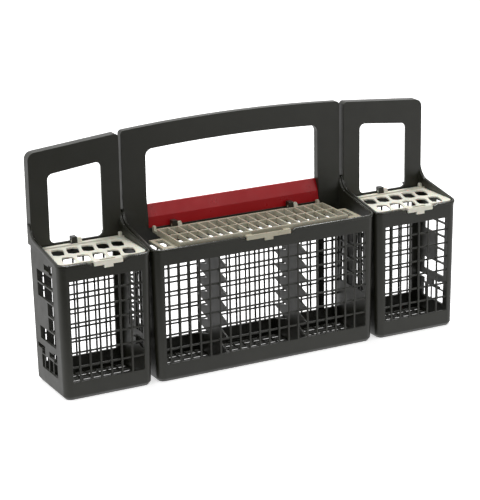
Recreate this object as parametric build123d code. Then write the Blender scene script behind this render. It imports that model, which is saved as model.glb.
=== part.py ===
"""Three-part dishwasher cutlery basket: a long middle basket, two end baskets and their hinged grids.

Millimetres. X runs along the row of baskets, +Y to the back, +Z up. While modelling, y is measured from the
front walls; each node is moved to the origin, below the middle of the whole object, when it is written.
"""
import os
from math import hypot

from build123d import *

# Row of baskets
side_width = 98.5            # end basket, across its rim
centre_width = 253.5         # middle basket, across its rim
basket_gap = 2.25            # between neighbouring baskets at the rim
body_depth = 72.0            # front face to back face of every basket
rim_height = 136.8           # front rim, under the lids
end_taper = 2.2              # how far each end wall leans in at the floor
wall = 2.4
floor_thickness = 1.8
corner_radius = 8.0          # upright front corners
inner_chamfer = 3.3          # their inner side
base_chamfer = 2.5
base_chamfer_height = 3.5

# Lattice of the front and back walls
lattice_bottom = 18.2
rim_band = 14.8              # solid band above the lattices
first_level_bar = 33.3
level_pitch = 15.1
level_bar = 1.7              # height of a level bar
upright_pitch = 11.2
back_pitch = 2 * upright_pitch
upright_bar = 1.8            # width of an upright bar
side_lattice_half = 38.5
centre_lattice_half = 115.5
narrowest_column = 3.5
side_front_bar = 3.0         # place of one upright bar, from the basket's middle
centre_front_bar = 1.3
centre_back_bar = 0.0
left_back_bar = 6.3
right_back_bar = 0.2

# Openings of the end walls
end_window_front = 18.0
end_window_setback = 14.0    # from the back face
joined_window_back = 35.0    # on walls that face a neighbour
end_window_short = 34.5      # back edge of the half-length windows
keyhole_front = 17.5
keyhole_wide = 8.5           # length of the wide part
keyhole_length = 20.5
keyhole_height = 9.4
keyhole_slot = 5.6
keyhole_drop = 7.8           # upper keyholes, below the rim
keyhole_low = 38.0           # lower keyholes, above the ground
hook_slot_setback = 5.0      # from the back face
hook_slot_length = 18.0
hook_slot_foot = 8.0
hook_slot_height = 9.0

# Coupling studs on the middle basket's ends
stud_y = 34.0
stud_clearance = 0.3
stud_head = 7.4
stud_head_thickness = 2.0

# Floor slots
floor_slot_width = 8.8
floor_slot_pitch = 12.4
floor_slot_rows = 5
floor_rib = 5.0              # under each divider

# Cross dividers of the middle basket
divider_x = 46.0
divider_thickness = 2.0
divider_drop = 7.3           # below the rim
divider_strip_front = 22.5
divider_strip_back = 44.0
divider_arm_tip = 1.5        # height of an arm at the wall

# Handles
handle_inset = 0.75          # from the basket's end wall
handle_depth = 8.0           # flange behind the back wall
flange = 2.0
flange_rise = 4.2            # rises are measured from the rim
handle_corner = 4.0
side_handle_corner = 8.0     # outer top corner
side_handle_outer_rise = 98.0
side_handle_inner_rise = 106.8
side_window_half = 28.8
side_window_foot_rise = 3.7
side_window_outer_rise = 74.5
side_window_inner_rise = 81.0
side_window_corner = 6.0
centre_handle_end_rise = 107.5
centre_handle_peak_rise = 112.2
centre_window_half = 99.5
centre_window_foot_rise = 3.6
centre_window_end_rise = 85.2
centre_window_peak_rise = 88.2
centre_window_corner = 8.0
shoulder_foot_rise = 13.2
shoulder_head_rise = 34.2
shoulder_set_back = 2.8

# End wall tops, which climb to the handle
cheek_front_rise = 3.2
cheek_setback = 15.0         # bend, from the back face
cheek_back_rise = 11.6
cheek_head_rise = 26.7
cheek_root = 0.5             # in front of the back wall's outer face

# Hinges
hinge_setback = 6.0          # from the back face
hinge_rise = 4.2
peg_diameter = 3.0
peg_clearance = 0.05
lug_reach = 3.0              # half height of the lugs
ear_reach = 2.1              # half height of the end ears
ear_width = 2.6
lug_width = 4.6
clip_width = 5.5
clip_gap = 0.4
clip_reach = 3.2             # in front of the hinge axis
clip_drop = 5.8
clip_rise = 9.2

# Lids
lid_rise = 2.4               # top of the lids above the rim
lid_thickness = 3.0
lid_gap = 0.4                # to the walls around a lid
lid_seat_gap = 0.2           # between the tongues and the rim
lid_corner = 7.0
lid_tail = 1.0               # behind the hinge axis
hole_columns = 5
hole_rows = 2
hole_pitch_x = 16.0
hole_front_margin = 2.7
hole_back_margin = 14.2
hole_row_web = 7.3
hole_width = 12.8
hole_flat = 5.8
back_bead = 1.2              # height and width of the raised line at the back
back_bead_setback = 7.0      # from the hinge axis
side_tongue_width = 30.0
side_tongue_x = 2.6
centre_tongue_width = 50.0
centre_tongue_x = 0.5
tongue_arm = 7.0             # width of the two arms over the rim
tongue_gap = 0.5
tongue_thickness = 2.0
tongue_drop = 4.6
catch_width = 9.5
catch_drop = 3.0

# Middle lid, a raised grid with a low shelf at each end
tray_front_gap = 1.2         # to the front wall; the grid swings forward as it opens
grid_half = 96.5
grid_drop = 1.2
grid_rise = 5.2
grid_setback = 9.0           # from the hinge axis
grid_columns = 17
grid_web = 1.8
grid_split_setback = 25.0    # web between the two rows, from the grid's back
shelf_reach = 17.0           # beyond the grid
shelf_setback = 17.0         # from the grid's back
shelf_drop = 2.2
shelf_rise = 0.6
shelf_rim = 4.5
centre_lug_x = 67.5

# Red rail
rail_thickness = 2.2
rail_end_gap = 0.2
rail_setback = 2.0           # foot, from the back face
rail_bend = 1.6              # depths are measured from the foot
rail_bend_rise = 14.2
rail_lean = 7.2
rail_top_rise = 26.4
rail_depth = 9.4

# Places worked out from the sizes above
back_face = body_depth
back_inner = body_depth - wall
handle_back = back_face + handle_depth
side_x = centre_width / 2 + basket_gap + side_width / 2
lattice_top = rim_height - rim_band
divider_top = rim_height - divider_drop
flange_foot = rim_height + flange_rise
side_handle_outer = rim_height + side_handle_outer_rise
side_handle_inner = rim_height + side_handle_inner_rise
side_window_foot = rim_height + side_window_foot_rise
side_window_outer = rim_height + side_window_outer_rise
side_window_inner = rim_height + side_window_inner_rise
centre_handle_end = rim_height + centre_handle_end_rise
centre_handle_peak = rim_height + centre_handle_peak_rise
centre_window_foot = rim_height + centre_window_foot_rise
centre_window_end = rim_height + centre_window_end_rise
centre_window_peak = rim_height + centre_window_peak_rise
shoulder_foot = rim_height + shoulder_foot_rise
shoulder_head = rim_height + shoulder_head_rise
cheek_head = rim_height + cheek_head_rise
hinge_z = rim_height + hinge_rise
clip_foot = rim_height - clip_drop
clip_top = rim_height + clip_rise
grid_bottom = rim_height - grid_drop
grid_top = rim_height + grid_rise
shelf_bottom = rim_height - shelf_drop
shelf_top = rim_height + shelf_rise
rail_bend_z = rim_height + rail_bend_rise
rail_top_z = rim_height + rail_top_rise
keyhole_levels = (rim_height - keyhole_drop, keyhole_low)
lid_top = rim_height + lid_rise
lid_bottom = lid_top - lid_thickness
lid_front = wall + lid_gap
end_window_back = back_face - end_window_setback
hook_slot_back = back_face - hook_slot_setback
cheek_back_y = back_face - cheek_setback
hinge_y = back_face - hinge_setback
clip_front = hinge_y - clip_reach
lid_back = hinge_y + lid_tail
hole_room = lid_back - lid_front - hole_front_margin - hole_back_margin
hole_length = (hole_room - (hole_rows - 1) * hole_row_web) / hole_rows
hole_first_y = lid_front + hole_front_margin + hole_length / 2
back_bead_y = hinge_y - back_bead_setback
grid_back = hinge_y - grid_setback
grid_split = grid_back - grid_split_setback
shelf_back = grid_back - shelf_setback
rail_front = back_face - rail_setback
grid_front = wall + tray_front_gap
tongue_reach = tongue_gap + tongue_thickness
middle_y = (handle_back - tongue_reach) / 2


def block(x0, x1, y0, y1, z0, z1):
    """Box between two corners."""
    place = Pos((x0 + x1) / 2, (y0 + y1) / 2, (z0 + z1) / 2)
    return place * Box(abs(x1 - x0), abs(y1 - y0), abs(z1 - z0))


def around(middle, size):
    """The two limits of a size centred on a place."""
    return middle - size / 2, middle + size / 2


def upright(sketch, y0, y1):
    """Extrudes a sketch drawn in X and Z from y0 back to y1."""
    plane = Plane((0, y0, 0), (1, 0, 0), (0, -1, 0))
    return extrude(plane * sketch, y1 - y0, dir=(0, 1, 0))


def across(sketch, x0, x1):
    """Extrudes a sketch drawn in Y and Z from x0 to x1."""
    plane = Plane((x0, 0, 0), (0, 1, 0), (1, 0, 0))
    return extrude(plane * sketch, x1 - x0, dir=(1, 0, 0))


def rod(diameter, x0, x1):
    """Round bar on the hinge axis, from x0 to x1."""
    place = Pos((x0 + x1) / 2, hinge_y, hinge_z) * Rot(0, 90, 0)
    return place * Cylinder(diameter / 2, abs(x1 - x0))


def end_lean(z):
    """How far an end wall has leaned in at height z."""
    return end_taper * (1 - z / rim_height)


def front_corners(width, inset, z):
    """Front corners of a basket's rectangle at height z, set in from its outer faces."""
    sketch = Rectangle(width - 2 * (end_lean(z) + inset), body_depth - 2 * inset)
    sketch = Pos(0, body_depth / 2, z) * sketch
    return sketch.vertices().group_by(Axis.Y)[0]


def shell(width):
    """Open box with leaning ends, rounded front corners and a chamfered foot."""
    heights = [(base_chamfer, 0), (0, base_chamfer_height), (0, rim_height)]
    outlines = [fillet(front_corners(width, inset, z), corner_radius - inset) for inset, z in heights]
    levels = (floor_thickness, 2 * rim_height)
    insides = [chamfer(front_corners(width, wall, z), inner_chamfer) for z in levels]
    return loft(outlines, ruled=True) - loft(insides, ruled=True)


def level_bars():
    """Heights of the level bars of the lattices."""
    count = int((lattice_top - first_level_bar) / level_pitch) + 1
    bars = [first_level_bar + level_pitch * i for i in range(count)]
    return [z for z in bars if lattice_bottom + level_bar < z < lattice_top - level_bar]


def spans(low, high, bars, bar_width):
    """Open spans between two edges, left by the bars."""
    starts = [low] + [bar + bar_width / 2 for bar in bars]
    ends = [bar - bar_width / 2 for bar in bars] + [high]
    return list(zip(starts, ends))


def lattice(half, bar_x, pitch, levels, outside, inside):
    """Cuts of a lattice wall: upright slots in its outer half, level slots in its inner half."""
    reach = int(2 * half / pitch) + 1
    bars = [bar_x + pitch * i for i in range(-reach, reach + 1)]
    bars = [x for x in bars if abs(x) < half - narrowest_column]
    middle = (outside + inside) / 2
    columns = spans(-half, half, bars, upright_bar)
    rows = spans(lattice_bottom, lattice_top, levels, level_bar)
    cuts = [block(x0, x1, outside, middle, lattice_bottom, lattice_top) for x0, x1 in columns]
    cuts += [block(-half, half, middle, inside, z0, z1) for z0, z1 in rows]
    return cuts


def end_depth(width, end):
    """Limits in X of a cut right through one end wall."""
    return end * (width / 2 - wall - 2 * end_taper), end * (width / 2 + 1)


def keyhole_row(rows):
    """Number of the row that holds the lower keyhole."""
    return [z0 < keyhole_levels[1] < z1 for z0, z1 in rows].index(True)


def outer_end_cuts(width, end):
    """Row windows and the hook slot through the outer end wall of an end basket."""
    x0, x1 = end_depth(width, end)
    rows = spans(lattice_bottom, lattice_top, level_bars(), level_bar)
    keyed = keyhole_row(rows)
    cuts = []
    for i, (z0, z1) in enumerate(rows):
        back = end_window_short if keyed + 2 <= i <= keyed + 3 else end_window_back
        if i != keyed:
            cuts.append(block(x0, x1, end_window_front, back, z0, z1))
    z0, z1 = around(keyhole_levels[1], hook_slot_height)
    z_foot = (z0 + z1) / 2
    front = hook_slot_back - hook_slot_length
    head = block(x0, x1, front, hook_slot_back, z_foot, z1)
    cuts.append(head + block(x0, x1, front, front + hook_slot_foot, z0, z_foot))
    return cuts


def joined_end_cuts(width, end):
    """Two tall windows through an end wall that faces its neighbour, above the lower keyhole or stud."""
    x0, x1 = end_depth(width, end)
    rows = spans(lattice_bottom, lattice_top, level_bars(), level_bar)
    upper = rows[keyhole_row(rows) + 1:]
    middle = len(upper) // 2
    groups = (upper[:middle], upper[middle:])
    return [block(x0, x1, end_window_front, joined_window_back, rows[0][0], rows[-1][1]) for rows in groups]


def keyholes(width, end):
    """Two keyholes through one end wall of an end basket, wide at the front."""
    x0, x1 = end_depth(width, end)
    cuts = []
    for z in keyhole_levels:
        wide = block(x0, x1, keyhole_front, keyhole_front + keyhole_wide, *around(z, keyhole_height))
        slot = block(x0, x1, keyhole_front, keyhole_front + keyhole_length, *around(z, keyhole_slot))
        cuts.append(wide + slot)
    return cuts


def floor_cuts(width, ribs):
    """Rows of slots through the floor, parted by ribs."""
    half = width / 2 - wall - end_taper - base_chamfer
    first_y = body_depth / 2 - floor_slot_pitch * (floor_slot_rows - 1) / 2
    cuts = []
    for row in range(floor_slot_rows):
        y0, y1 = around(first_y + row * floor_slot_pitch, floor_slot_width)
        for x0, x1 in spans(-half, half, ribs, floor_rib):
            cuts.append(block(x0, x1, y0, y1, -1, floor_thickness + 1))
    return cuts


def cheek(width, end):
    """Raised top of one end wall: it climbs to the back and sweeps up into the handle."""
    x1 = end * width / 2
    x0 = x1 - end * wall
    root_y = back_face - cheek_root
    foot_front = (corner_radius, rim_height)
    top_front = (corner_radius, rim_height + cheek_front_rise)
    top_back = (cheek_back_y, rim_height + cheek_back_rise)
    head = (root_y, cheek_head)
    foot_back = (root_y, rim_height)
    slope = (top_back[0] - top_front[0], top_back[1] - top_front[1])
    edges = [
        Line(foot_front, top_front),
        Line(top_front, top_back),
        TangentArc(top_back, head, tangent=slope),
        Line(head, foot_back),
        Line(foot_back, foot_front),
    ]
    return across(make_face(edges), x0, x1)


def socket(x0, x1):
    """Square window on the hinge axis that holds a peg."""
    width = peg_diameter + 2 * peg_clearance
    return block(x0, x1, *around(hinge_y, width), *around(hinge_z, width))


def clip_limits(x):
    """Limits in X of the clip to the left of a lug."""
    right = x - lug_width / 2 - clip_gap
    return right - clip_width, right


def clip(x):
    """Hinge clip that stands forward from the top of the back wall, with the socket of a lug's peg."""
    x0, x1 = clip_limits(x)
    root = block(x0, x1, clip_front, back_inner + wall / 2, clip_foot, rim_height)
    return root + block(x0, x1, clip_front, back_inner, clip_foot, clip_top) - socket(x0 - 1, x1 + 1)


def side_handle(side):
    """Handle of an end basket: a window frame with a flange behind it, lower at the outer end."""
    half = side_width / 2 - handle_inset

    def frame(foot, inset, outer, inner, grow=0):
        """Outline with a sloping top, in X and Z, grown or shrunk all round."""
        low, high = (outer, inner) if side < 0 else (inner, outer)
        x = inset + grow
        points = [(-x, foot - grow), (x, foot - grow), (x, high + grow), (-x, low + grow)]
        return Polygon(*points, align=None)

    def tops(sketch):
        """The outer and the inner top corner, as two lists."""
        return sketch.vertices().group_by(Axis.Y)[-2], sketch.vertices().group_by(Axis.Y)[-1]

    outline = frame(rim_height, half, side_handle_outer, side_handle_inner)
    outline = fillet(tops(outline)[0], side_handle_corner)
    outline = fillet(tops(outline)[1], handle_corner)
    window = frame(side_window_foot, side_window_half, side_window_outer, side_window_inner)
    window = fillet(window.vertices(), side_window_corner)
    ring = outline - Pos(0, rim_height) * Rectangle(side_width, 2 * (flange_foot - rim_height))
    pocket = frame(flange_foot, half, side_handle_outer, side_handle_inner, -flange)
    pocket = chamfer(tops(pocket)[0] + tops(pocket)[1], side_handle_corner)
    pocket -= frame(side_window_foot, side_window_half, side_window_outer, side_window_inner, flange)
    sheet = upright(outline - window, back_inner, back_face)
    return sheet + upright(ring - window - pocket, back_inner + wall / 2, handle_back)


def side_basket(side, back_bar):
    """End basket in one moulding, with its walls, floor and handle."""
    body = shell(side_width)
    body -= lattice(side_lattice_half, side_front_bar, upright_pitch, level_bars(), 0, wall)
    body -= lattice(side_lattice_half, back_bar, back_pitch, level_bars()[1::2], back_face, back_inner)
    body -= outer_end_cuts(side_width, side) + joined_end_cuts(side_width, -side)
    body -= keyholes(side_width, side) + keyholes(side_width, -side)
    body -= floor_cuts(side_width, [])
    body += [cheek(side_width, end) for end in (-1, 1)]
    body += [side_handle(side), clip(0)]
    body -= socket(side_width / 2 - wall - 1, side_width / 2 + 1)
    return Pos(side * side_x, 0, 0) * body


def arched(foot, half, end, peak):
    """Outline with an arched top, in X and Z."""
    edges = [
        Line((-half, foot), (half, foot)),
        Line((half, foot), (half, end)),
        ThreePointArc((half, end), (0, peak), (-half, end)),
        Line((-half, end), (-half, foot)),
    ]
    return make_face(edges)


def centre_handle():
    """Grip handle of the middle basket: an arched frame, set back above its shoulders."""
    half = centre_width / 2 - handle_inset
    frame = arched(rim_height, half, centre_handle_end, centre_handle_peak)
    hole = arched(centre_window_foot, centre_window_half, centre_window_end, centre_window_peak)
    outline = fillet(frame.vertices().group_by(Axis.Y)[-1], handle_corner)
    window = fillet(hole.vertices().group_by(Axis.Y)[-1], centre_window_corner)
    foot = Pos(0, rim_height) * Rectangle(centre_width, 2 * (flange_foot - rim_height))
    pocket = offset(frame - foot, -flange, kind=Kind.INTERSECTION)
    pocket -= offset(hole, flange, kind=Kind.INTERSECTION)
    sheet = outline - window
    rim = outline - foot - window - pocket
    top = centre_handle_peak + 1

    def bent(front, back_low, back_high):
        """Profile that follows the shoulder, in Y and Z."""
        return Polygon(
            (front, rim_height),
            (front, shoulder_foot),
            (front + shoulder_set_back, shoulder_head),
            (front + shoulder_set_back, top),
            (back_high, top),
            (back_high, shoulder_head),
            (back_low, shoulder_foot),
            (back_low, rim_height),
            align=None,
        )

    sheet_profile = bent(back_inner, back_face, back_face + shoulder_set_back)
    rim_profile = bent(back_inner + wall / 2, handle_back, handle_back)
    sheet = upright(sheet, back_inner - 1, handle_back + 1) & across(sheet_profile, -half, half)
    rim = upright(rim, back_inner - 1, handle_back + 1) & across(rim_profile, -half, half)
    return sheet + rim


def divider():
    """Cross divider: a solid middle strip with arms that narrow towards the front and back walls."""
    sheet = block(*around(0, divider_thickness), wall, back_inner, floor_thickness, divider_top)
    inset = (level_bar - divider_arm_tip) / 2
    cuts = []
    for z0, z1 in spans(lattice_bottom, lattice_top, level_bars(), level_bar):
        low, high = z0 - inset, z1 + inset
        for y_wall, y_strip in ((wall, divider_strip_front), (back_inner, divider_strip_back)):
            gap = Polygon((y_wall, low), (y_strip, (low + high) / 2), (y_wall, high), align=None)
            cuts.append(across(gap, -divider_thickness, divider_thickness))
    return sheet - cuts


def studs(end):
    """Two headed studs on one end of the middle basket, which lock in the keyholes of the end basket."""
    neck = keyhole_slot - 2 * stud_clearance
    parts = []
    for z in keyhole_levels:
        root = end * (centre_width / 2 - end_lean(z) - wall / 2)
        face = end * (centre_width / 2 + basket_gap + end_lean(z) + wall + 2 * stud_clearance)
        tip = face + end * stud_head_thickness
        parts.append(block(root, face, *around(stud_y, neck), *around(z, neck)))
        parts.append(block(face, tip, *around(stud_y, stud_head), *around(z, stud_head)))
    return parts


def centre_basket():
    """Middle basket in one moulding, with its walls, floor, dividers, handle, clips and studs."""
    body = shell(centre_width)
    body -= lattice(centre_lattice_half, centre_front_bar, upright_pitch, level_bars(), 0, wall)
    back_levels = level_bars()[1::2]
    body -= lattice(centre_lattice_half, centre_back_bar, back_pitch, back_levels, back_face, back_inner)
    body -= joined_end_cuts(centre_width, -1) + joined_end_cuts(centre_width, 1)
    body -= floor_cuts(centre_width, [-divider_x, divider_x])
    body += [Pos(x, 0, 0) * divider() for x in (-divider_x, divider_x)]
    body += [cheek(centre_width, end) for end in (-1, 1)]
    body += centre_handle()
    body += [clip(-centre_lug_x), clip(centre_lug_x)]
    body += studs(-1) + studs(1)
    return body


def ear(x0, x1, reach):
    """Hinge ear or lug that rises from the back of a lid around the hinge axis."""
    profile = Polygon(
        (hinge_y - 2 * reach, lid_bottom),
        (hinge_y - reach, hinge_z + reach / 2),
        (hinge_y - reach / 2, hinge_z + reach),
        (hinge_y + reach / 2, hinge_z + reach),
        (hinge_y + reach, hinge_z + reach / 2),
        (hinge_y + reach, hinge_z - reach / 2),
        (lid_back, lid_bottom),
        align=None,
    )
    return across(profile, x0, x1)


def lug(x):
    """Lug with a peg that turns in the clip on its left."""
    tip = clip_limits(x)[0] + clip_gap
    return [ear(*around(x, lug_width), lug_reach), rod(peg_diameter, tip, x)]


def clip_notch(x):
    """Cut in a lid's back edge that clears a hinge clip through the lid's swing."""
    x0, x1 = clip_limits(x)
    swing = hypot(hinge_y - clip_front, clip_top - hinge_z) + clip_gap
    return block(x0 - clip_gap, x1 + clip_gap, hinge_y - swing, body_depth, 0, 2 * rim_height)


def tongue(x, width, root):
    """Latch tongue at the front of a lid: a lip before the rim on two arms, with a small catch under it."""
    x0, x1 = around(x, width)
    lip_bottom = lid_top - tongue_drop
    parts = [block(x0, x1, -tongue_reach, -tongue_gap, lip_bottom, lid_top)]
    for arm in ((x0, x0 + tongue_arm), (x1 - tongue_arm, x1)):
        parts.append(block(*arm, -tongue_gap, root, rim_height + lid_seat_gap, lid_top))
    catch = around(x, catch_width)
    parts.append(block(*catch, -tongue_reach, -tongue_gap, lip_bottom - catch_drop, lip_bottom))
    return parts


def cutlery_hole(x, y):
    """Six-sided hole through a lid."""
    hole = Polygon(
        (-hole_width / 2, 0),
        (-hole_flat / 2, -hole_length / 2),
        (hole_flat / 2, -hole_length / 2),
        (hole_width / 2, 0),
        (hole_flat / 2, hole_length / 2),
        (-hole_flat / 2, hole_length / 2),
        align=None,
    )
    return Pos(x, y, lid_bottom - 1) * extrude(hole, lid_thickness + 2)


def side_lid(side):
    """Lid of an end basket: a sheet with two rows of cutlery holes."""
    half = side_width / 2 - wall - lid_gap
    sheet = Pos(0, (lid_front + lid_back) / 2) * Rectangle(2 * half, lid_back - lid_front)
    sheet = fillet(sheet.vertices().group_by(Axis.Y)[0], lid_corner)
    lid = Pos(0, 0, lid_bottom) * extrude(sheet, lid_thickness)
    lid += block(-half, half, *around(back_bead_y, back_bead), lid_top, lid_top + back_bead)
    holes = []
    for row in range(hole_rows):
        for column in range(hole_columns):
            x = (column - (hole_columns - 1) / 2) * hole_pitch_x
            holes.append(cutlery_hole(x, hole_first_y + row * (hole_length + hole_row_web)))
    lid -= holes
    lid -= clip_notch(0)
    lid += lug(0)
    lid += [ear(half - ear_width, half, ear_reach), rod(peg_diameter, half - ear_width / 2, half + wall)]
    lid += tongue(side_tongue_x, side_tongue_width, lid_front + wall)
    return Pos(side * side_x, 0, 0) * lid


def centre_lid():
    """Lid of the middle basket: a raised grid of cells with a pierced low shelf at each end."""
    lid = block(-grid_half, grid_half, grid_front, grid_back, grid_bottom, grid_top)
    lid += block(-grid_half, grid_half, grid_back - grid_web, lid_back, lid_bottom, lid_top)
    cell = (2 * grid_half - grid_web) / grid_columns
    rows = spans(grid_front + grid_web, grid_back - grid_web, [grid_split], grid_web)
    cuts = []
    for y0, y1 in rows:
        for i in range(grid_columns):
            x0 = -grid_half + grid_web + i * cell
            cuts.append(block(x0, x0 + cell - grid_web, y0, y1, grid_bottom - 1, grid_top + 1))
    lid -= cuts
    lugs = (-centre_lug_x, centre_lug_x)
    lid -= [clip_notch(x) for x in lugs]
    for end in (-1, 1):
        root = end * (grid_half - grid_web / 2)
        tip = end * (grid_half + shelf_reach)
        shelf = block(root, tip, grid_front, shelf_back, shelf_bottom, shelf_top)
        hole_x = (end * (grid_half + shelf_rim), tip - end * shelf_rim)
        hole_y = (grid_front + 2 * shelf_rim, shelf_back - shelf_rim)
        lid += shelf - block(*hole_x, *hole_y, shelf_bottom - 1, shelf_top + 1)
        lid += ear(*sorted((end * grid_half, end * (grid_half - ear_width))), ear_reach)
    for x in lugs:
        lid += lug(x)
    lid += tongue(centre_tongue_x, centre_tongue_width, grid_front + grid_web / 2)
    return lid


def red_rail():
    """Red strip on the back wall's top edge between the handle's legs, behind the hinge clips."""
    half = centre_window_half - rail_end_gap
    profile = Polygon(
        (rail_front, centre_window_foot),
        (rail_front + rail_bend, rail_bend_z),
        (rail_front + rail_lean, rail_top_z),
        (rail_front + rail_depth, rail_top_z),
        (rail_front + rail_depth, rail_top_z - rail_thickness),
        (rail_front + rail_lean + rail_thickness / 2, rail_top_z - rail_thickness),
        (rail_front + rail_bend + rail_thickness, rail_bend_z),
        (back_face, centre_window_foot),
        align=None,
    )
    return across(profile, -half, half)


nodes = {
    "centre_basket": centre_basket(),
    "left_basket": side_basket(-1, left_back_bar),
    "right_basket": side_basket(1, right_back_bar),
    "centre_lid": centre_lid(),
    "left_lid": side_lid(-1),
    "right_lid": side_lid(1),
    "red_rail": red_rail(),
}

os.makedirs("parts", exist_ok=True)
for name, shape in nodes.items():
    export_step(Pos(0, -middle_y, 0) * shape, f"parts/{name}.step")
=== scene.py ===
"""Looks of a three-part dishwasher cutlery basket: plastics, studio light and the photograph's view."""
import math

import bmesh
import bpy
from mathutils import Matrix, Vector


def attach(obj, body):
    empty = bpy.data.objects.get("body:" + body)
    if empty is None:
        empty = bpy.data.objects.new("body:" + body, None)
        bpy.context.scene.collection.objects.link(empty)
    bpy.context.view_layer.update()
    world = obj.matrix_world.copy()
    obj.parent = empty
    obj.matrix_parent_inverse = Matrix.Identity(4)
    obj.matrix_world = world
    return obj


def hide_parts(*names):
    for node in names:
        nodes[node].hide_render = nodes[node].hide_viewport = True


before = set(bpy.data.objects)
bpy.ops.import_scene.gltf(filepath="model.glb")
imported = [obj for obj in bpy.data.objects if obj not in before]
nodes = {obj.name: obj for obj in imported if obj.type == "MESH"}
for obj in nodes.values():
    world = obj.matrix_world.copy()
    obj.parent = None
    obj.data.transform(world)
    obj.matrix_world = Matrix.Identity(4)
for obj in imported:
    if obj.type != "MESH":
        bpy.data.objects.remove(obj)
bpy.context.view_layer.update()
scene = bpy.context.scene
scene.view_settings.view_transform = "Standard"
MM = 0.001

# Camera at the photograph's view
VIEW_YAW = -0.4763
VIEW_PITCH = 0.3043
VIEW_ROLL = -0.0166
VIEW_PLACE = (-0.88005, -1.68326, 0.70635)
FOCAL_PIXELS = 1935.04
IMAGE_HEIGHT = 500
SENSOR = 36.0
CLIP = (0.05, 60)

# Walls and their lattices, in millimetres as in the CAD model
FRONT_FACE = -38.75
BACK_FACE = 33.25
WALL = 2.4
RIM = 136.8
CORNER = 8.0
END_TAPER = 2.2
BAR = 1.8
LEVEL_BAR = 1.7
LATTICE_BOTTOM = 18.2
LATTICE_TOP = 122.0
FIRST_LEVEL = 33.3
LEVEL_PITCH = 15.1
LEVELS = 6
UPRIGHT_PITCH = 11.2
UPRIGHT_REACH = 6
UPRIGHT_MARGIN = 3.0
ROOT = 1.0
OVERLAP = 0.1
RECESS = 0.05
BAR_EDGE = 0.25
# Windows and bars of the walls that face a neighbour
JOINED_UPRIGHTS = (-15.1, -9.4)
JOINED_WINDOW = (-21.5, -3.0)
JOINED_COLUMNS = ((1.0, 12.5), (14.5, 26.5))
JOINED_ROWS = (1, 5)
JOINED_BAR_INSET = 0.2
# Low window in the outer wall of an end basket
END_UPRIGHTS = (-8.3, 2.9, 14.1)
END_BAR_INSET = 0.6
# Small windows at both ends of the middle basket's back wall
MARGIN_WINDOW = (117.3, 122.6)
# Floor ribs
FLOOR_FRONT = -33.0
FLOOR_BACK = 27.5
FLOOR_RIB = 1.5
FLOOR_FINE_RIB = 1.0
FLOOR_TOP = 2.5
FLOOR_FOOT = 0.5
FLOOR_PITCH = 11.0
FLOOR_MARGIN = 3.0
FLOOR_SLOT_PITCH = 12.4
FLOOR_SLOT_REACH = 2
# Rolled rim
LIP_WIDTH = 3.2
LIP_HEIGHT = 1.5
LIP_SKIRT = 1.4
LIP_PROUD = 0.9
LIP_TOP = 138.9
LIP_RISE = 0.5
LIP_FADE = 6.0
LIP_GAP = 1.5
LIP_STEPS = 8
CORNER_STEPS = 8
# Top edge of an end wall, as depths from the front face and heights
CHEEK_FRONT = (8.0, 140.0)
CHEEK_BEND = (57.0, 148.4)
CHEEK_HEAD = (71.5, 163.5)
CHEEK_STEPS = 8
# Each basket's middle and half width, the half width of its lattice, the place of one back bar, the ends
# that face a neighbour and how many columns of windows they have, the place and width of the latch tongue
# that hooks over its rim, and the places and widths of the posts in its back wall
BASKETS = {
    "centre_basket": {
        "middle": 0.0, "half": 126.75, "lattice": 115.5, "bar": 11.2,
        "joined": (-1, 1), "columns": 2, "tongue": (0.5, 50.0),
        "posts": ((-102.7, 7.2), (102.7, 7.2))},
    "left_basket": {
        "middle": -178.25, "half": 49.25, "lattice": 38.5, "bar": -4.9,
        "joined": (1,), "columns": 1, "tongue": (2.6, 30.0),
        "posts": ((-32.8, 7.9),)},
    "right_basket": {
        "middle": 178.25, "half": 49.25, "lattice": 38.5, "bar": 11.4,
        "joined": (-1,), "columns": 1, "tongue": (2.6, 30.0),
        "posts": ()},
}

# Blocks that are cut from the mouldings: under the lids, and behind the windows of the end handles
LID_MIDDLES = {"left_lid": -178.25, "right_lid": 178.25}
LID_UNDERSIDE = ((-43.4, -32.9, 134.0), (43.4, 18.2, 137.7))
GRID_UNDERSIDE = ((-94.7, -33.35, 133.0), (94.7, 16.45, 137.2))
WINDOW_FLANGE = ((-31.5, 33.25, 140.5), (31.5, 43.0, 225.0))
# Cutlery holes of the end lids
HOLE_COLUMNS = (-32.0, -16.0, 0.0, 16.0, 32.0)
HOLE_ROWS = (-23.25, 4.05)
HOLE_HALF_OUTLINE = ((6.5, 0.0), (7.6, 6.8), (3.2, 10.3), (-2.9, 10.3))
HOLE_HEIGHTS = (130.0, 145.0)

# Shading of the mouldings: welding distance in millimetres, angles in degrees
WELD = 0.002
SHARP_ANGLE = 30
FLAT_ANGLE = 0.4
FLAT_WEIGHT = 100

# Plastics: noise scales in cells per metre, and the part of the noise that the colours spread over
CLOUD_SCALE = 14
PATCH_SCALE = 60
NOISE_SPAN = (0.3, 0.7)
GRAIN_DEPTH = 0.2 * MM
BEVEL_SAMPLES = 6
DARK_IOR = 1.58
RED_SPECULAR = 0.28
PALE_SUBSURFACE = 0.12
PALE_DEPTH = 1.2 * MM

# Studio
ROOM_BACK = 1.0
ROOM_FRONT = 0.22
FLOOR_REACH = 20
FLOOR_COLOUR = (0.9, 0.9, 0.9, 1)
FLOOR_WHITE = 0.62
# Painted pool of light that the floor shows only in reflections: its brightness behind the baskets, its
# lowest brightness, how fast it falls towards the front, and how much faster it falls towards the left
PAINTED_POOL_BRIGHT = 1.0
PAINTED_POOL_DARK = 0.06
PAINTED_POOL_FALL = 1.4
PAINTED_POOL_SIDE = 8
WHITE = (1, 1, 1, 1)


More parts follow.
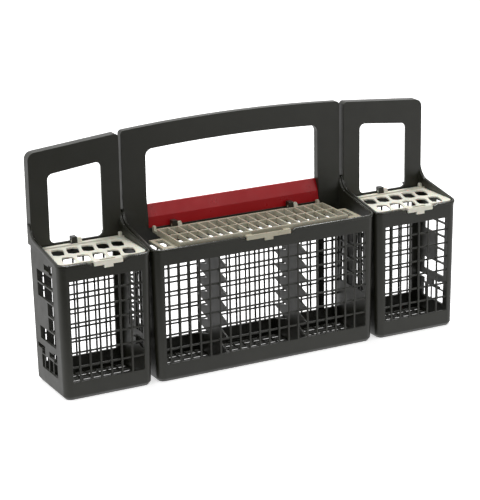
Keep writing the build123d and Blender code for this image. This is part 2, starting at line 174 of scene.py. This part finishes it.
def make_camera():
    """Camera from the yaw, pitch and roll of the photograph."""
    forward = Vector((
        -math.sin(VIEW_YAW) * math.cos(VIEW_PITCH),
        math.cos(VIEW_YAW) * math.cos(VIEW_PITCH),
        -math.sin(VIEW_PITCH),
    ))
    level = Vector((math.cos(VIEW_YAW), math.sin(VIEW_YAW), 0))
    up = level.cross(forward)
    right = level * math.cos(VIEW_ROLL) + up * math.sin(VIEW_ROLL)
    top = up * math.cos(VIEW_ROLL) - level * math.sin(VIEW_ROLL)
    data = bpy.data.cameras.new("camera")
    data.sensor_width = SENSOR
    data.lens = FOCAL_PIXELS / IMAGE_HEIGHT * SENSOR
    data.clip_start, data.clip_end = CLIP
    camera = bpy.data.objects.new("camera", data)
    scene.collection.objects.link(camera)
    turn = Matrix((right, top, -forward)).transposed()
    camera.matrix_world = Matrix.Translation(VIEW_PLACE) @ turn.to_4x4()
    scene.camera = camera


def material(name):
    """New node material with its shader and object coordinates."""
    made = bpy.data.materials.new(name)
    made.use_nodes = True
    tree = made.node_tree
    shader = tree.nodes["Principled BSDF"]
    place = tree.nodes.new("ShaderNodeTexCoord").outputs["Object"]
    return made, tree, shader, place


def noise(tree, place, scale, detail, roughness):
    """Noise value at a scale, in cells per metre."""
    node = tree.nodes.new("ShaderNodeTexNoise")
    node.inputs["Scale"].default_value = scale
    node.inputs["Detail"].default_value = detail
    node.inputs["Roughness"].default_value = roughness
    tree.links.new(place, node.inputs["Vector"])
    return node.outputs["Fac"]


def ramp(tree, value, stops):
    """Colour ramp of a value between two stops."""
    node = tree.nodes.new("ShaderNodeValToRGB")
    for end, (place, colour) in zip(node.color_ramp.elements, stops):
        end.position = place
        end.color = (*colour, 1)
    tree.links.new(value, node.inputs["Fac"])
    return node.outputs["Color"]


def spread(tree, value, low, high):
    """Maps a noise value to a range."""
    node = tree.nodes.new("ShaderNodeMapRange")
    node.inputs["From Min"].default_value = NOISE_SPAN[0]
    node.inputs["From Max"].default_value = NOISE_SPAN[1]
    node.inputs["To Min"].default_value = low
    node.inputs["To Max"].default_value = high
    tree.links.new(value, node.inputs["Value"])
    return node.outputs["Result"]


def relief(tree, shader, height, strength, edge):
    """Fine grain on the surface, and edges that are rounded by a small radius."""
    round_edge = tree.nodes.new("ShaderNodeBevel")
    round_edge.samples = BEVEL_SAMPLES
    round_edge.inputs["Radius"].default_value = edge
    node = tree.nodes.new("ShaderNodeBump")
    node.inputs["Distance"].default_value = GRAIN_DEPTH
    node.inputs["Strength"].default_value = strength
    tree.links.new(height, node.inputs["Height"])
    tree.links.new(round_edge.outputs["Normal"], node.inputs["Normal"])
    tree.links.new(node.outputs["Normal"], shader.inputs["Normal"])


def moulded(name, dark, light, rough_low, rough_high, grain, strength, edge):
    """Moulded plastic: slight clouding of its colour, uneven gloss and a fine spark-eroded grain."""
    made, tree, shader, place = material(name)
    cloud = noise(tree, place, CLOUD_SCALE, 4, 0.55)
    tree.links.new(ramp(tree, cloud, zip(NOISE_SPAN, (dark, light))), shader.inputs["Base Color"])
    patch = noise(tree, place, PATCH_SCALE, 3, 0.6)
    tree.links.new(spread(tree, patch, rough_low, rough_high), shader.inputs["Roughness"])
    relief(tree, shader, noise(tree, place, grain, 2, 0.6), strength, edge)
    return made, shader


def clothe(node, made):
    """Gives a CAD node its material."""
    piece = nodes[node]
    piece.data.materials.clear()
    piece.data.materials.append(made)


def add_bar(mesh, low, high):
    """Adds one straight bar between two corners, in millimetres."""
    corners = bmesh.ops.create_cube(mesh, size=1)["verts"]
    size = Vector(high) - Vector(low)
    middle = (Vector(high) + Vector(low)) / 2
    for corner in corners:
        corner.co = Vector(a * b for a, b in zip(corner.co, size)) * MM + middle * MM


def bars_shape(bars):
    """Shape of many bars."""
    shape = bmesh.new()
    for low, high in bars:
        add_bar(shape, low, high)
    return shape


def add_hole(mesh, x, y):
    """Adds the eight-sided prism that clears one cutlery hole."""
    outline = [*HOLE_HALF_OUTLINE, *((-px, -py) for px, py in HOLE_HALF_OUTLINE)]
    low, high = (
        [mesh.verts.new(Vector((x + px, y + py, z)) * MM) for px, py in outline]
        for z in HOLE_HEIGHTS
    )
    mesh.faces.new(low[::-1])
    mesh.faces.new(high)
    for i in range(len(outline)):
        j = (i + 1) % len(outline)
        mesh.faces.new((low[i], low[j], high[j], high[i]))


def piece_of(shape, name, body, made):
    """Turns a built shape into a piece that rides on a basket."""
    mesh = bpy.data.meshes.new(name)
    shape.to_mesh(mesh)
    shape.free()
    mesh.materials.append(made)
    piece = bpy.data.objects.new(name, mesh)
    scene.collection.objects.link(piece)
    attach(piece, body)
    return piece


def bar_piece(name, body, bars, made):
    """One piece of many bars that rides on a basket, with small rounded edges."""
    piece = piece_of(bars_shape(bars), name, body, made)
    edges = piece.modifiers.new("edges", "BEVEL")
    edges.width = BAR_EDGE * MM
    edges.segments = 2


def settle(piece, kind, **settings):
    """Works one modifier into a piece's mesh."""
    step = piece.modifiers.new(kind, kind)
    for name, value in settings.items():
        setattr(step, name, value)
    bpy.context.view_layer.update()
    graph = bpy.context.evaluated_depsgraph_get()
    piece_mesh = bpy.data.meshes.new_from_object(piece.evaluated_get(graph))
    piece.modifiers.clear()
    piece.data = piece_mesh


def smooth_edges(piece):
    """Rounds off the shading of small edges, while wide faces stay flat and sharp edges sharp."""
    settle(piece, "DECIMATE", decimate_type="DISSOLVE", angle_limit=math.radians(FLAT_ANGLE))
    piece.data.shade_smooth()
    piece.data.set_sharp_from_angle(angle=math.radians(SHARP_ANGLE))
    settle(piece, "WEIGHTED_NORMAL", keep_sharp=True, weight=FLAT_WEIGHT)


def trimmed(node, tool, made):
    """Stands in for a node with a copy of its mesh that has the tool's shape cut out of it."""
    shape = bmesh.new()
    shape.from_mesh(nodes[node].data)
    bmesh.ops.remove_doubles(shape, verts=shape.verts, dist=WELD * MM)
    piece = piece_of(shape, node + "_moulding", node, made)
    cutter = bpy.data.objects.new("cutter", bpy.data.meshes.new("cutter"))
    tool.to_mesh(cutter.data)
    tool.free()
    scene.collection.objects.link(cutter)
    settle(piece, "BOOLEAN", operation="DIFFERENCE", solver="EXACT", use_self=True, object=cutter)
    bpy.data.objects.remove(cutter)
    piece.data.materials.clear()
    piece.data.materials.append(made)
    smooth_edges(piece)
    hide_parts(node)


def moved(block, x):
    """A block moved along the row of baskets."""
    return tuple((corner[0] + x, *corner[1:]) for corner in block)


def joined_cuts(basket):
    """Rows of windows through the walls that face a neighbour."""
    cuts = []
    for end in basket["joined"]:
        outer = basket["middle"] + end * (basket["half"] + ROOT)
        inner = basket["middle"] + end * (basket["half"] - WALL - 2 * END_TAPER)
        x0, x1 = sorted((outer, inner))
        for i in range(*JOINED_ROWS):
            z0 = FIRST_LEVEL + LEVEL_PITCH * i + LEVEL_BAR / 2
            z1 = FIRST_LEVEL + LEVEL_PITCH * (i + 1) - LEVEL_BAR / 2
            for front, back in JOINED_COLUMNS[:basket["columns"]]:
                cuts.append(((x0, front, z0), (x1, back, z1)))
    return cuts


def margin_cuts():
    """Rows of small windows at both ends of the middle basket's back wall, beyond its lattice."""
    levels = [FIRST_LEVEL + LEVEL_PITCH * i for i in range(LEVELS)]
    levels = [LATTICE_BOTTOM - LEVEL_BAR / 2, *levels, LATTICE_TOP + LEVEL_BAR / 2]
    cuts = []
    for end in (-1, 1):
        x0, x1 = sorted(end * x for x in MARGIN_WINDOW)
        for below, above in zip(levels, levels[1:]):
            low = (x0, BACK_FACE - WALL - ROOT, below + LEVEL_BAR / 2)
            cuts.append((low, (x1, BACK_FACE + ROOT, above - LEVEL_BAR / 2)))
    return cuts


def upright_bar(x, width):
    """One upright bar in the outer layer of a back wall."""
    low = (x - width / 2, BACK_FACE - WALL / 2 - OVERLAP, LATTICE_BOTTOM - ROOT)
    return low, (x + width / 2, BACK_FACE - RECESS, LATTICE_TOP + ROOT)


def back_bars(basket):
    """Fine bars of a back wall, halfway between those of the CAD model, and its posts."""
    middle, half = basket["middle"], basket["lattice"]
    steps = range(-UPRIGHT_REACH, UPRIGHT_REACH + 1)
    places = [basket["bar"] + 2 * UPRIGHT_PITCH * i for i in steps]
    bars = [upright_bar(middle + x, BAR) for x in places if abs(x) < half - UPRIGHT_MARGIN]
    bars += [upright_bar(middle + place, width) for place, width in basket["posts"]]
    for i in range(0, LEVELS, 2):
        z = FIRST_LEVEL + LEVEL_PITCH * i
        low = (middle - half - ROOT, BACK_FACE - WALL + RECESS, z - LEVEL_BAR / 2)
        high = (middle + half + ROOT, BACK_FACE - WALL / 2 + OVERLAP, z + LEVEL_BAR / 2)
        bars.append((low, high))
    return bars


def joined_bars(basket):
    """Fine bars across the tall windows of the walls that face a neighbour."""
    front, back = JOINED_WINDOW
    bars = []
    for end in basket["joined"]:
        inner = basket["middle"] + end * (basket["half"] - WALL - END_TAPER / 2)
        x0, x1 = sorted((inner, inner + end * WALL / 2))
        for y in JOINED_UPRIGHTS:
            low = (x0, y - BAR / 2, FIRST_LEVEL + LEVEL_PITCH)
            bars.append((low, (x1, y + BAR / 2, LATTICE_TOP)))
        for i in range(1, LEVELS):
            z = FIRST_LEVEL + LEVEL_PITCH * i
            lean = END_TAPER * (1 - z / RIM)
            outer = basket["middle"] + end * (basket["half"] - lean - JOINED_BAR_INSET)
            inner = outer - end * (WALL - 2 * JOINED_BAR_INSET)
            x0, x1 = sorted((outer, inner))
            bars.append(((x0, front, z - LEVEL_BAR / 2), (x1, back, z + LEVEL_BAR / 2)))
    return bars


def end_bars(basket):
    """Uprights across the low window in an end basket's outer wall."""
    end = -basket["joined"][0]
    lean = END_TAPER * (1 - LATTICE_BOTTOM / RIM)
    outer = basket["middle"] + end * (basket["half"] - lean - END_BAR_INSET)
    x0, x1 = sorted((outer, outer - end * WALL / 2))
    low, high = LATTICE_BOTTOM - ROOT, FIRST_LEVEL
    return [((x0, y - BAR / 2, low), (x1, y + BAR / 2, high)) for y in END_UPRIGHTS]


def floor_bars(basket):
    """Cross ribs over the long slots of a basket's floor, and a thin rib along each slot."""
    middle, half = basket["middle"], basket["lattice"] + FLOOR_MARGIN
    count = int(half / FLOOR_PITCH)
    bars = []
    for i in range(-count, count + 1):
        x = middle + i * FLOOR_PITCH
        low = (x - FLOOR_RIB / 2, FLOOR_FRONT, FLOOR_FOOT)
        bars.append((low, (x + FLOOR_RIB / 2, FLOOR_BACK, FLOOR_TOP)))
    for row in range(-FLOOR_SLOT_REACH, FLOOR_SLOT_REACH + 1):
        y = (FRONT_FACE + BACK_FACE) / 2 + row * FLOOR_SLOT_PITCH
        low = (middle - half, y - FLOOR_FINE_RIB / 2, FLOOR_FOOT)
        bars.append((low, (middle + half, y + FLOOR_FINE_RIB / 2, FLOOR_TOP)))
    return bars


def cheek_edge():
    """Top edge of an end wall: a straight climb, then an arc that sweeps up to the handle."""
    front, bend, head = (Vector(point) for point in (CHEEK_FRONT, CHEEK_BEND, CHEEK_HEAD))
    climb = (bend - front).normalized()
    chord = head - bend
    swing = climb.angle(chord)
    radius = chord.length / (2 * math.sin(swing))
    centre = bend + radius * Vector((-climb.y, climb.x))
    start = math.atan2(bend.y - centre.y, bend.x - centre.x)
    edge = [front, bend]
    for i in range(1, CHEEK_STEPS + 1):
        turn = start + 2 * swing * i / CHEEK_STEPS
        edge.append(centre + radius * Vector((math.cos(turn), math.sin(turn))))
    return edge


def rim_runs(basket):
    """Top lines of a rolled rim, from each handle leg round a front corner to the latch tongue."""
    tongue, width = basket["tongue"]
    inset = LIP_WIDTH / 2 - LIP_PROUD
    bend = CORNER - inset
    high = CHEEK_FRONT[1] + LIP_RISE
    runs = []
    for end in (-1, 1):
        side = basket["middle"] + end * basket["half"]
        stop = basket["middle"] + tongue + end * (width / 2 + LIP_GAP)
        run = []
        for depth, height in reversed(cheek_edge()):
            run.append(Vector((side - end * inset, FRONT_FACE + depth, height + LIP_RISE)))
        for i in range(1, CORNER_STEPS + 1):
            share = i / CORNER_STEPS
            x = side - end * (CORNER - bend * math.cos(share * math.pi / 2))
            y = FRONT_FACE + CORNER - bend * math.sin(share * math.pi / 2)
            run.append(Vector((x, y, high + share * (LIP_TOP - high))))
        for x in (stop + end * LIP_FADE, stop):
            run.append(Vector((x, FRONT_FACE + inset, LIP_TOP)))
        runs.append(run)
    return runs


def lip_ring(shape, run, i):
    """Ring of points across the rolled rim at one place; it sinks into the wall at both ends."""
    along = (run[min(i + 1, len(run) - 1)] - run[max(i - 1, 0)]).normalized()
    across = Vector((along.y, -along.x, 0)).normalized()
    up = across.cross(along)
    if up.z < 0:
        up.negate()
    top = run[i]
    if i in (0, len(run) - 1):
        top = top - up * (LIP_HEIGHT + LIP_SKIRT)
    ring = []
    for step in range(LIP_STEPS + 1):
        turn = math.pi * step / LIP_STEPS
        sideways = across * (LIP_WIDTH / 2 * math.cos(turn))
        ring.append(top + sideways + up * (LIP_HEIGHT * (math.sin(turn) - 1)))
    ring.insert(0, ring[0] - up * LIP_SKIRT)
    ring.append(ring[-1] - up * LIP_SKIRT)
    return [shape.verts.new(point * MM) for point in ring]


def rim_lip(name, basket, made):
    """Rolled rim along a basket's end walls and front wall, open at the latch tongue."""
    shape = bmesh.new()
    for run in rim_runs(basket):
        rings = [lip_ring(shape, run, i) for i in range(len(run))]
        count = len(rings[0])
        for ring, following in zip(rings, rings[1:]):
            for step in range(count):
                other = (step + 1) % count
                shape.faces.new((ring[step], ring[other], following[other], following[step]))
        shape.faces.new(rings[0][::-1])
        shape.faces.new(rings[-1])
    bmesh.ops.recalc_face_normals(shape, faces=shape.faces)
    piece = piece_of(shape, name + "_rim_lip", name, made)
    piece.data.shade_smooth()
    piece.data.set_sharp_from_angle(angle=math.radians(SHARP_ANGLE))


def math_node(tree, operation, first, second, third=None):
    """One step of arithmetic; each operand is a number or a socket."""
    node = tree.nodes.new("ShaderNodeMath")
    node.operation = operation
    for slot, operand in zip(node.inputs, (first, second, third)):
        if operand is None:
            continue
        if isinstance(operand, (int, float)):
            slot.default_value = operand
        else:
            tree.links.new(operand, slot)
    return node.outputs["Value"]


def make_floor():
    """Wide pale floor, white paper to the camera; to glossy rays it glows with a painted pool of light,
    brightest behind the baskets and darker towards the front and the left.
    """
    mesh = bpy.data.meshes.new("floor")
    corners = [(FLOOR_REACH * x, FLOOR_REACH * y, 0) for x, y in ((-1, -1), (1, -1), (1, 1), (-1, 1))]
    mesh.from_pydata(corners, [], [range(len(corners))])
    floor = bpy.data.objects.new("floor", mesh)
    scene.collection.objects.link(floor)
    paper, tree, shader, place = material("floor_paper")
    shader.inputs["Base Color"].default_value = FLOOR_COLOUR
    shader.inputs["Roughness"].default_value = 0.9
    shader.inputs["Specular IOR Level"].default_value = 0.1
    shader.inputs["Emission Color"].default_value = WHITE
    path = tree.nodes.new("ShaderNodeLightPath")
    white = math_node(tree, "MULTIPLY", path.outputs["Is Camera Ray"], FLOOR_WHITE)
    tree.links.new(white, shader.inputs["Emission Strength"])
    parts = tree.nodes.new("ShaderNodeSeparateXYZ")
    tree.links.new(place, parts.inputs["Vector"])
    ahead = math_node(tree, "MINIMUM", parts.outputs["Y"], 0)
    left = math_node(tree, "MULTIPLY", parts.outputs["X"], -1)
    side = math_node(tree, "POWER", PAINTED_POOL_SIDE, left)
    fall = math_node(tree, "MULTIPLY", ahead, side)
    pool = math_node(tree, "MULTIPLY_ADD", fall, PAINTED_POOL_FALL, PAINTED_POOL_BRIGHT)
    pool = math_node(tree, "MAXIMUM", pool, PAINTED_POOL_DARK)
    # Painted reflection: for glossy rays the floor glows with this pool of light instead of being lit
    painted_pool_glow = tree.nodes.new("ShaderNodeEmission")
    tree.links.new(pool, painted_pool_glow.inputs["Strength"])
    either = tree.nodes.new("ShaderNodeMixShader")
    tree.links.new(path.outputs["Is Glossy Ray"], either.inputs["Fac"])
    tree.links.new(shader.outputs["BSDF"], either.inputs[1])
    tree.links.new(painted_pool_glow.outputs["Emission"], either.inputs[2])
    tree.links.new(either.outputs["Shader"], tree.nodes["Material Output"].inputs["Surface"])
    mesh.materials.append(paper)


def make_world():
    """White studio whose lit backdrop is brighter than the room in front of it."""
    world = bpy.data.worlds.new("studio")
    world.use_nodes = True
    tree = world.node_tree
    back = tree.nodes["Background"]
    back.inputs["Color"].default_value = WHITE
    parts = tree.nodes.new("ShaderNodeSeparateXYZ")
    direction = tree.nodes.new("ShaderNodeTexCoord").outputs["Generated"]
    tree.links.new(direction, parts.inputs["Vector"])
    half_range = (ROOM_BACK - ROOM_FRONT) / 2
    middle = (ROOM_BACK + ROOM_FRONT) / 2
    depth = math_node(tree, "MULTIPLY_ADD", parts.outputs["Y"], half_range, middle)
    path = tree.nodes.new("ShaderNodeLightPath").outputs
    seen = math_node(tree, "MAXIMUM", path["Is Camera Ray"], path["Is Transmission Ray"])
    strength = math_node(tree, "MAXIMUM", depth, seen)
    tree.links.new(strength, back.inputs["Strength"])
    scene.world = world


def softbox(name, place, target, size, power):
    """Square area light aimed at a point."""
    data = bpy.data.lights.new(name, "AREA")
    data.shape = "SQUARE"
    data.size = size
    data.energy = power
    lamp = bpy.data.objects.new(name, data)
    lamp.location = place
    aim = Vector(target) - Vector(place)
    lamp.rotation_euler = aim.to_track_quat("-Z", "Y").to_euler()
    scene.collection.objects.link(lamp)


make_camera()

# Plastics: darkest and lightest colour, lowest and highest roughness, grain and its strength, edge radius
basket_plastic, dark = moulded(
    "basket_plastic", (0.0120, 0.0122, 0.0068), (0.0165, 0.0167, 0.0098),
    0.33, 0.45, 1400, 0.25, 0.7 * MM)
# The rolled rim is a little lighter than the basket: a painted highlight along the rim; its lower
# roughness gives real gloss
rim_plastic_painted_highlight, rim = moulded(
    "rim_plastic_painted_highlight", (0.0150, 0.0152, 0.0090), (0.0200, 0.0202, 0.0125),
    0.20, 0.30, 1400, 0.15, 0.3 * MM)
cream_plastic, cream = moulded(
    "cream_plastic", (0.70, 0.685, 0.575), (0.78, 0.765, 0.66),
    0.33, 0.46, 1100, 0.12, 0.5 * MM)
beige_plastic, beige = moulded(
    "beige_plastic", (0.39, 0.36, 0.27), (0.47, 0.44, 0.34),
    0.22, 0.34, 1100, 0.12, 0.5 * MM)
red_plastic, red = moulded(
    "red_plastic", (0.33, 0.002, 0.005), (0.40, 0.005, 0.009),
    0.26, 0.38, 1400, 0.12, 0.5 * MM)
for shader in (dark, rim):
    shader.inputs["IOR"].default_value = DARK_IOR
red.inputs["Specular IOR Level"].default_value = RED_SPECULAR
for shader in (cream, beige):
    shader.inputs["Subsurface Weight"].default_value = PALE_SUBSURFACE
    shader.inputs["Subsurface Scale"].default_value = PALE_DEPTH

# Baskets
for node, basket in BASKETS.items():
    cuts = joined_cuts(basket)
    wall_bars = joined_bars(basket)
    if node == "centre_basket":
        cuts += margin_cuts()
    else:
        cuts.append(moved(WINDOW_FLANGE, basket["middle"]))
        wall_bars += end_bars(basket)
    trimmed(node, bars_shape(cuts), basket_plastic)
    bar_piece(node + "_back_bars", node, back_bars(basket), basket_plastic)
    bar_piece(node + "_end_wall_bars", node, wall_bars, basket_plastic)
    bar_piece(node + "_floor_ribs", node, floor_bars(basket), basket_plastic)
    rim_lip(node, basket, rim_plastic_painted_highlight)

# Lids and rail
for node, middle in LID_MIDDLES.items():
    tool = bars_shape([moved(LID_UNDERSIDE, middle)])
    for x in HOLE_COLUMNS:
        for y in HOLE_ROWS:
            add_hole(tool, middle + x, y)
    trimmed(node, tool, cream_plastic)
trimmed("centre_lid", bars_shape([GRID_UNDERSIDE]), beige_plastic)
clothe("red_rail", red_plastic)

# Studio light
make_floor()
make_world()
softbox("key", (0.5, 0.45, 1.7), (0, 0, 0.12), 0.6, 20)
softbox("left", (-1.9, -0.6, 1.2), (0, 0, 0.12), 1.2, 9)
softbox("front", (0.9, -1.35, 1.35), (0, 0, 0.15), 0.9, 5)
